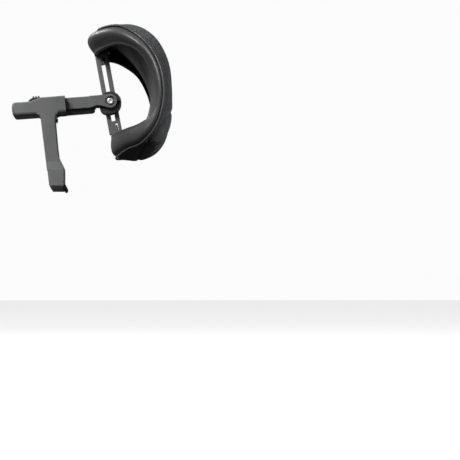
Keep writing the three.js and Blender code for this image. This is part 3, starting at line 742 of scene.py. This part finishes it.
def stitch_group():
    """Stitches on points: a small capsule on each, turned to the point's own directions."""
    tree, given, end = node_group("stitch_run", {
        "Length": "Float", "Thickness": "Float", "Thread": "Material"})
    ball = add_node(tree, "GeometryNodeMeshUVSphere", {
        "Segments": 8, "Rings": 6, "Radius": 0.5}).outputs[0]
    normal = add_node(
        tree, "GeometryNodeInputNamedAttribute", {"Name": "normal"},
        data_type="FLOAT_VECTOR").outputs[0]
    along = add_node(
        tree, "GeometryNodeInputNamedAttribute", {"Name": "along"},
        data_type="FLOAT_VECTOR").outputs[0]
    upright = add_node(
        tree, "FunctionNodeAlignRotationToVector", {"Vector": normal}, axis="Z").outputs[0]
    turned = add_node(
        tree, "FunctionNodeAlignRotationToVector", {"Rotation": upright, "Vector": along},
        axis="X", pivot_axis="Z").outputs[0]
    size = add_node(tree, "ShaderNodeCombineXYZ", {
        "X": given["Length"], "Y": given["Thickness"], "Z": given["Thickness"]}).outputs[0]
    placed = add_node(tree, "GeometryNodeInstanceOnPoints", {
        "Points": given["Geometry"], "Instance": ball, "Rotation": turned, "Scale": size,
    }).outputs[0]
    close_group(tree, end, placed, given["Thread"])
    return tree


def stitch_run(name, places, normals, body):
    """A run of stitches through the places, as one mesh."""
    spacing = shapes().stitch_spacing
    path = np.array(places)
    steps = np.linalg.norm(np.diff(path, axis=0), axis=1)
    reach = np.concatenate([[0], np.cumsum(steps)])
    count = int(reach[-1] / spacing)
    stops = np.linspace(0, reach[-1], count, endpoint=False) + spacing / 2
    points = np.array([np.interp(stops, reach, path[:, k]) for k in range(3)]).T
    facing = np.array([np.interp(stops, reach, np.array(normals)[:, k]) for k in range(3)]).T
    ahead = np.array([np.interp(stops + spacing / 4, reach, path[:, k]) for k in range(3)]).T
    mesh = bpy.data.meshes.new(name)
    mesh.from_pydata([tuple(p) for p in points], [], [])
    for label, values in (("normal", unit(facing)), ("along", unit(ahead - points + 1e-9))):
        attribute = mesh.attributes.new(label, "FLOAT_VECTOR", "POINT")
        attribute.data.foreach_set("vector", values.astype(np.float32).ravel())
    piece = new_object(name, mesh)
    piece.data = run_group(piece, stitch_group(), {
        "Length": shapes().stitch_length, "Thickness": STITCH_THICKNESS,
        "Thread": FINISH["thread"]})
    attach(piece, body)
    return piece


# ---- pad -----------------------------------------------------------------------------------

PAD_FILL = 0.5  # share of the swelling that the cover keeps, over its taut foam
PAD_STEPS = 480
PAD_RINGS = 150
PAD_BACK_RINGS = 14
PAD_GAP = 0.3 * MM  # between the pad and the pieces round it
PAD_SHRINK = 4 * MM  # how much shallower the cover is before it is filled
PAD_HOLD = 0.10  # share of the face, at the rim, over which the swelling fades
CLOTH_FRAMES = 20
NEIGHBOURS = 8  # points of the swelling that each point of the pad follows
FOLDS_FROM = 0.62  # share of the face from which the rim's pulls start
SLOW_FOLD, PULL_FOLD = 0.55, 1.5  # heights of the slow swell and of the rim's pulls, mm
SLOW_COUNT = 0.030  # slow swells to the millimetre
PULL_AROUND, PULL_OUT = 0.11, 0.017  # pulls to the step round the pad and to the ring
PULL_PLACE = 4.7  # where the pulls are taken from in the noise
GROOVE, GROOVE_WIDTH = 1.5, 1.3  # depth and half width of the cross seam's groove, mm
RIDGE, RIDGE_PLACE, RIDGE_WIDTH = 0.4, 5.5, 3.5  # ridges on both sides of the groove, mm


def pad_rows(shrink):
    """Rows of the pad: face from middle to rim, then back from rim to middle."""
    outline = Outline(PAD_STEPS)
    seam, outward = outline.seam, outline.outward
    lead = unit(outline.forward + np.array((1, 0, 0)))
    clear = shapes().trim_radius + PAD_GAP
    edge = seam + lead * clear - outward * shrink * 0.3
    tuck = seam + lead * (clear - 1.0 * MM) - outward * PANEL_INSIDE
    upper = np.cos(2 * math.pi * outline.share) * 0.5 + 0.5
    power = PAD_POWER + (PAD_TOP_POWER - PAD_POWER) * upper ** 0.7
    face = dish(
        edge, PAD_X - shrink, PAD_Z, power, PAD_RINGS, PAD_WINGS, PAD_PUFF, drop=0.45)
    back = dish(
        panel_rim(outline, 1 * MM, PANEL_INSIDE + PAD_GAP), PANEL_X + 1 * MM, PANEL_Z,
        PANEL_POWER, PAD_BACK_RINGS)
    return np.array(face + [tuck] + back[::-1])


def swell(rows):
    """How far each point of rows moves as a cover of that shape is filled under pressure."""
    sizes = shapes()
    blank = new_piece("pad_filling", grid_mesh("pad_filling_mesh", rows, False), "knit")
    remesh = blank.modifiers.new("even", "REMESH")
    remesh.mode = "VOXEL"
    remesh.voxel_size = sizes.pad_voxel
    blank.data = made_mesh(blank)
    start = np.array([v.co for v in blank.data.vertices])
    cloth = blank.modifiers.new("fill", "CLOTH")
    cloth.settings.quality = 6
    cloth.settings.use_pressure = True
    cloth.settings.uniform_pressure_force = sizes.pad_pressure
    cloth.settings.effector_weights.gravity = 0
    cloth.point_cache.frame_start, cloth.point_cache.frame_end = 1, CLOTH_FRAMES
    for step in range(1, CLOTH_FRAMES + 1):
        bpy.context.scene.frame_set(step)
    evaluated = blank.evaluated_get(bpy.context.evaluated_depsgraph_get())
    moved = np.array([v.co for v in evaluated.data.vertices]) - start
    bpy.context.scene.frame_set(1)
    bpy.data.objects.remove(blank)
    far = np.linalg.norm(moved, axis=1, keepdims=True)
    moved *= np.minimum(1, sizes.pad_swell / np.maximum(far, 1e-9))
    tree = kdtree.KDTree(len(start))
    for i, place in enumerate(start):
        tree.insert(place, i)
    tree.balance()
    result = np.zeros_like(rows)
    for r in range(rows.shape[0]):
        for i in range(rows.shape[1]):
            found = tree.find_n(rows[r, i], NEIGHBOURS)
            weights = np.array([1 / (d + 1 * MM) ** 2 for _, _, d in found])
            result[r, i] = weights @ moved[[k for _, k, _ in found]] / weights.sum()
    return result


def folds(rows):
    """Heights of the cover's slow swells and of its pulls near the rim, in millimetres."""
    heights = np.zeros(rows.shape[:2])
    for r in range(1, PAD_RINGS):
        near_rim = max(0.0, (r / PAD_RINGS - FOLDS_FROM) / (1 - FOLDS_FROM))
        fade = near_rim * (1 - near_rim)
        for i in range(rows.shape[1]):
            slow = noise.noise(Vector(rows[r, i] / MM * SLOW_COUNT))
            pull = noise.noise(Vector((i * PULL_AROUND, r * PULL_OUT, PULL_PLACE)))
            heights[r, i] = SLOW_FOLD * slow + PULL_FOLD * pull * fade
    return heights


def pad_surface():
    """The pad's rows as they end up, their outward directions, and their heights over the
    cross seam's plane."""
    rows = pad_rows(0.0)
    move = swell(pad_rows(PAD_SHRINK))
    along = np.clip(np.arange(len(rows)) / PAD_RINGS, 0, 1)
    hold = np.clip((1 - along) / PAD_HOLD, 0, 1)
    rows = rows + move * (hold * hold * (3 - 2 * hold))[:, None, None] * PAD_FILL
    normals = row_normals(rows)
    slope = CROSS_SEAM["slope"]
    height = rows[..., 2] - CROSS_SEAM["z"] - slope * (rows[..., 0] - CROSS_SEAM["x"])
    away = np.abs(height) / math.hypot(1, slope) / MM
    groove = RIDGE * np.exp(-(((away - RIDGE_PLACE) / RIDGE_WIDTH) ** 2)) - (
        GROOVE * np.exp(-((away / GROOVE_WIDTH) ** 2)))
    face = (np.arange(len(rows)) < PAD_RINGS)[:, None]
    rows = rows + normals * ((groove + folds(rows)) * face * MM)[..., None]
    return rows, normals, height


def stitch_line(rows, normals, height):
    """The line of the stitches above the cross seam, from one wing to the other."""
    rise = STITCH_RISE * math.hypot(1, CROSS_SEAM["slope"])
    places, facing = [], []
    for i in range(rows.shape[1]):
        line = height[: PAD_RINGS - 2, i] - rise
        cross = np.nonzero((line[:-1] > 0) & (line[1:] <= 0))[0]
        if len(cross):
            r = cross[-1]
            share = line[r] / (line[r] - line[r + 1])
            places.append(rows[r, i] * (1 - share) + rows[r + 1, i] * share)
            facing.append(normals[r, i])
    order = np.argsort([place[1] for place in places])
    return [places[k] for k in order], [facing[k] for k in order]


def row_normals(rows):
    """Outward directions of rows of rings, from the rings' own neighbours."""
    around = np.roll(rows, -1, axis=1) - np.roll(rows, 1, axis=1)
    down = np.gradient(rows, axis=0)
    normals = np.cross(around, down)
    size = np.linalg.norm(normals, axis=-1, keepdims=True)
    normals = np.where(size > 1e-12, normals / np.maximum(size, 1e-12), np.array((1.0, 0, 0)))
    if normals[PAD_RINGS // 2, :, 0].mean() < 0:
        normals = -normals
    return normals


# ---- operators -----------------------------------------------------------------------------


class HEADREST_OT_bracket(bpy.types.Operator):
    """Shape the bracket body, its rear cap, bolts, washers, buffer and stop screw"""

    bl_idname = "headrest.bracket"
    bl_label = "Bracket"

    def execute(self, context):
        refined("bracket_body", "grey", 0.0012)
        cap = new_piece("shown_rear_cap", rear_cap_mesh(), "grey")
        mounted(cap, "rear_cap")
        refined("foot_buffer", "rubber", 0.0010)
        refined("stop_screw", "black_steel", 0.0002)
        for side in ("near", "far"):
            refined(f"foot_bolt_{side}", "black_steel", 0.0003)
            refined(f"foot_washer_{side}", "steel", 0.0002)
        spring = refined("latch_spring", "steel", 0.0)
        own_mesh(spring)
        return {"FINISHED"}


class HEADREST_OT_latch(bpy.types.Operator):
    """Shape the latch button and its pawl"""

    bl_idname = "headrest.latch"
    bl_label = "Press latch"

    def execute(self, context):
        refined("latch_button", "black", 0.0005)
        refined("latch_pawl", "nylon", 0.0003)
        return {"FINISHED"}


class HEADREST_OT_arm(bpy.types.Operator):
    """Shape the sliding arm, its keel and the tilt pivot's bolt, nut and washers"""

    bl_idname = "headrest.arm"
    bl_label = "Sliding arm"

    def execute(self, context):
        refined("arm_bar", "grey", 0.0007)
        refined("keel_strip", "black", 0.0008)
        refined("pivot_bolt", "steel", 0.0003)
        refined("pivot_nut", "steel", 0.0003)
        for side in ("near", "far"):
            refined(f"friction_washer_{side}", "nylon", 0.00015)
        return {"FINISHED"}


class HEADREST_OT_carriage(bpy.types.Operator):
    """Shape the carriage halves, their glides and clamp screws"""

    bl_idname = "headrest.carriage"
    bl_label = "Tilt carriage"

    def execute(self, context):
        for side in ("near", "far"):
            refined(f"carriage_{side}", "black", 0.0007)
            refined(f"rail_glide_{side}", "nylon", 0.0002)
        for place in ("front", "rear"):
            refined(f"clamp_screw_{place}", "black_steel", 0.0002)
        return {"FINISHED"}


class HEADREST_OT_rail(bpy.types.Operator):
    """Shape the height rail, its inserts, mounts and screws"""

    bl_idname = "headrest.rail"
    bl_label = "Height rail"

    def execute(self, context):
        refined("height_rail", "grey", 0.0005)
        for end in ("upper", "lower"):
            refined(f"rail_insert_{end}", "rubber", 0.0003)
            refined(f"rail_mount_{end}", "black", 0.0006)
            refined(f"rail_screw_{end}", "black_steel", 0.0002)
        return {"FINISHED"}


class HEADREST_OT_shell(bpy.types.Operator):
    """Sweep the shell's band with its rolled edge and inner flange"""

    bl_idname = "headrest.shell"
    bl_label = "Shell"

    def execute(self, context):
        mounted(new_piece("shown_shell_frame", shell_mesh(), "shell"), "shell_frame")
        return {"FINISHED"}


class HEADREST_OT_panel(bpy.types.Operator):
    """Form the rear panel behind the pad"""

    bl_idname = "headrest.panel"
    bl_label = "Rear panel"

    def execute(self, context):
        mounted(new_piece("shown_rear_panel", panel_mesh(), "shell"), "rear_panel")
        return {"FINISHED"}


class HEADREST_OT_trim(bpy.types.Operator):
    """Sweep the bead between shell and pad"""

    bl_idname = "headrest.trim"
    bl_label = "Edge trim"

    def execute(self, context):
        path = seam_path("seam_path")
        mesh = run_group(path, trim_group(), {
            "Radius": shapes().trim_radius, "Sides": 12, "Bead": FINISH["shell"]})
        bpy.data.objects.remove(path)
        mounted(new_piece("shown_edge_trim", mesh, "shell"), "edge_trim")
        return {"FINISHED"}


class HEADREST_OT_pad(bpy.types.Operator):
    """Fill the pad's cover under pressure, then sew its cross seam"""

    bl_idname = "headrest.pad"
    bl_label = "Pad"

    def execute(self, context):
        rows, normals, height = pad_surface()
        pad = new_piece("shown_pad", grid_mesh("pad_mesh", rows, False), "knit")
        mounted(pad, "pad")
        places, facing = stitch_line(rows, normals, height)
        stitch_run("cross_seam_stitches", places, facing, "headrest")
        return {"FINISHED"}


CAMERA_PLACE = (0.07575, -2.427, -0.1635)
CAMERA_AHEAD = (115, 1618, 55)  # direction of view, of any length
SENSOR = 36
FLOOR_HALF = 14.0  # half of the floor's side
DOME_RADIUS = 18
SKY_BELOW, SKY_ABOVE = 0.18, 0.5  # brightness of the surround straight down and straight up
SKY = ((0.40, 0.22), (0.50, 0.8), (0.62, 1.0), (0.80, 0.8))  # share of the way up, brightness
LIGHTS = (  # name, place, side
    ("key", (-1.3, -1.8, 1.75), 1.0),
    ("fill", (1.9, -1.3, 1.35), 0.9),
    ("rear", (-1.2, 1.5, 1.2), 0.9),
)


class HEADREST_OT_stage(bpy.types.Operator):
    """Set up the camera, the pale floor and the studio light"""

    bl_idname = "headrest.stage"
    bl_label = "Stage"

    def execute(self, context):
        settings = context.scene.headrest_stage
        data = bpy.data.cameras.new("camera")
        data.lens = settings.lens
        data.sensor_width = SENSOR
        data.clip_end = 100
        camera = new_object("camera", data)
        camera.location = CAMERA_PLACE
        camera.rotation_euler = Vector(CAMERA_AHEAD).to_track_quat("-Z", "Y").to_euler()
        context.scene.camera = camera

        half, low = FLOOR_HALF, settings.floor
        mesh = bpy.data.meshes.new("studio_floor")
        mesh.from_pydata(
            [(-half, -half, low), (half, -half, low), (half, half, low), (-half, half, low)],
            [], [(0, 1, 2, 3)])
        material, tree, shader, at = new_finish("studio_paper")
        feed(
            tree, shader,
            Base_Color=tinted(tree, (0.60, 0.60, 0.60), noise_node(tree, at, 3.0), 0.01),
            Roughness=0.8, Emission_Color=(1, 1, 1, 1), Emission_Strength=0.72)
        mesh.materials.append(material)
        floor = new_object("studio_floor", mesh)

        dome = new_object("studio_dome", dome_mesh())
        for piece in (floor, dome):
            piece.visible_diffuse = piece.visible_glossy = piece.visible_transmission = False
            piece.visible_shadow = False

        context.scene.world = graded_world(settings.surround)
        context.scene.view_settings.view_transform = "Standard"

        for name, place, side in LIGHTS:
            soft_box(name + "_light", place, side, getattr(settings, name + "_power"))
        return {"FINISHED"}


def graded_world(brightness):
    """A dim surround, darkest below and brightest a little above the horizon."""
    world = bpy.data.worlds.new("studio_surround")
    world.use_nodes = True
    tree = world.node_tree
    toward = add_node(tree, "ShaderNodeTexCoord").outputs["Generated"]
    rise = add_node(tree, "ShaderNodeSeparateXYZ", {0: toward}).outputs["Z"]
    upward = math_node(tree, "MULTIPLY_ADD", rise, 0.5, 0.5)
    level = add_node(tree, "ShaderNodeValToRGB", {0: upward})
    tones = level.color_ramp.elements
    tones[0].position, tones[0].color = 0.0, (*[brightness * SKY_BELOW] * 3, 1)
    tones[1].position, tones[1].color = 1.0, (*[brightness * SKY_ABOVE] * 3, 1)
    for place, share in SKY:
        tones.new(place).color = (*[brightness * share] * 3, 1)
    tree.links.new(level.outputs[0], tree.nodes["Background"].inputs["Color"])
    return world


def dome_mesh():
    """A wide white dome round the stage, faces inwards."""
    mesh = bpy.data.meshes.new("studio_dome")
    shape = bmesh.new()
    bmesh.ops.create_uvsphere(shape, u_segments=64, v_segments=32, radius=DOME_RADIUS)
    bmesh.ops.reverse_faces(shape, faces=shape.faces)
    shape.to_mesh(mesh)
    shape.free()
    material, tree, shader, at = new_finish("studio_white")
    tone = tinted(tree, (0.97, 0.97, 0.97), noise_node(tree, at, 0.2), 0.01)
    feed(
        tree, shader, Base_Color=(0, 0, 0, 1), Emission_Color=tone, Emission_Strength=1.0,
        Specular_IOR_Level=0.0)
    mesh.materials.append(material)
    return mesh


def soft_box(name, place, size, power):
    """A square area light aimed at the headrest."""
    data = bpy.data.lights.new(name, "AREA")
    data.size = size
    data.energy = power
    light = new_object(name, data)
    light.location = place
    light.rotation_euler = (Vector(MIDDLE) - Vector(place)).to_track_quat("-Z", "Y").to_euler()


OPERATORS = (
    HEADREST_OT_stage, HEADREST_OT_bracket, HEADREST_OT_latch, HEADREST_OT_arm,
    HEADREST_OT_carriage, HEADREST_OT_rail, HEADREST_OT_shell, HEADREST_OT_panel,
    HEADREST_OT_trim, HEADREST_OT_pad,
)


class VIEW3D_PT_headrest(bpy.types.Panel):
    """Settings and builders of the headrest"""

    bl_label = "Chair headrest"
    bl_space_type = "VIEW_3D"
    bl_region_type = "UI"
    bl_category = "Headrest"

    def draw(self, context):
        for group in (
            context.scene.headrest_finishes, context.scene.headrest_shapes,
            context.scene.headrest_stage,
        ):
            box = self.layout.box()
            for name in group.__annotations__:
                box.prop(group, name)
        for operator in OPERATORS:
            self.layout.operator(operator.bl_idname)


GROUPS = {
    "headrest_finishes": HeadrestFinishes,
    "headrest_shapes": HeadrestShapes,
    "headrest_stage": HeadrestStage,
}


def register():
    for group in (*GROUPS.values(), *OPERATORS, VIEW3D_PT_headrest):
        bpy.utils.register_class(group)
    for name, group in GROUPS.items():
        setattr(bpy.types.Scene, name, PointerProperty(type=group))


def unregister():
    for name in GROUPS:
        delattr(bpy.types.Scene, name)
    for group in reversed((*GROUPS.values(), *OPERATORS, VIEW3D_PT_headrest)):
        bpy.utils.unregister_class(group)


def main():
    register()
    make_finishes()
    bpy.ops.headrest.stage()
    bpy.ops.headrest.bracket()
    bpy.ops.headrest.latch()
    bpy.ops.headrest.arm()
    bpy.ops.headrest.carriage()
    bpy.ops.headrest.rail()
    bpy.ops.headrest.shell()
    bpy.ops.headrest.panel()
    bpy.ops.headrest.trim()
    bpy.ops.headrest.pad()


if __name__ == "__main__":
    main()
